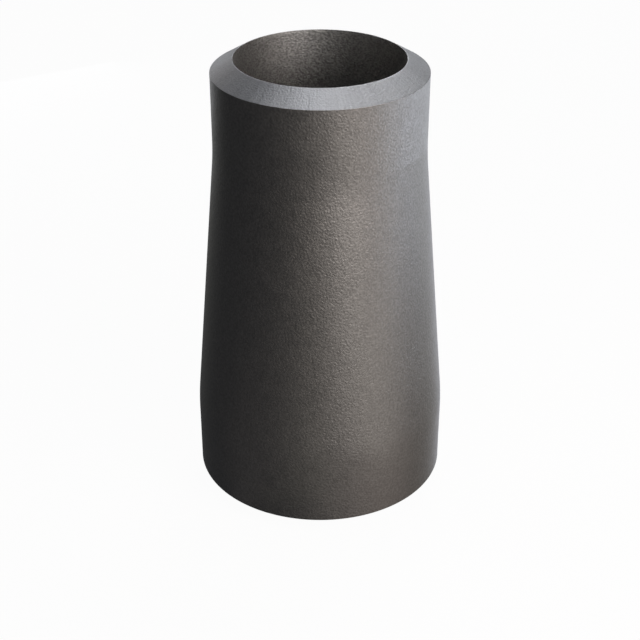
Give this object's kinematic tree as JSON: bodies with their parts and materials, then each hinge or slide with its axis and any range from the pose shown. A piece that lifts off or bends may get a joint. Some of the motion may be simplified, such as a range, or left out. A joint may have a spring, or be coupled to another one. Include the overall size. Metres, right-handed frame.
{
  "type": "concentric reducer",
  "caption": "Seamless butt-weld concentric reducer: an open steel tube that narrows evenly from a wider pipe end to a narrower one, both bevelled for welding.",
  "frame": {"origin": "centre of the big end's root face plane, on the pipe axis, where the reducer stands", "axes": "+Z along the pipe axis from the big end to the small end"},
  "size_m": [0.0212, 0.0212, 0.038],
  "materials": {
    "blasted_steel": "fine shot-blasted dark steel, with paler machined weld bevels"
  },
  "bodies": {
    "root": {"reducer_body": "blasted_steel"}
  },
  "joints": []
}
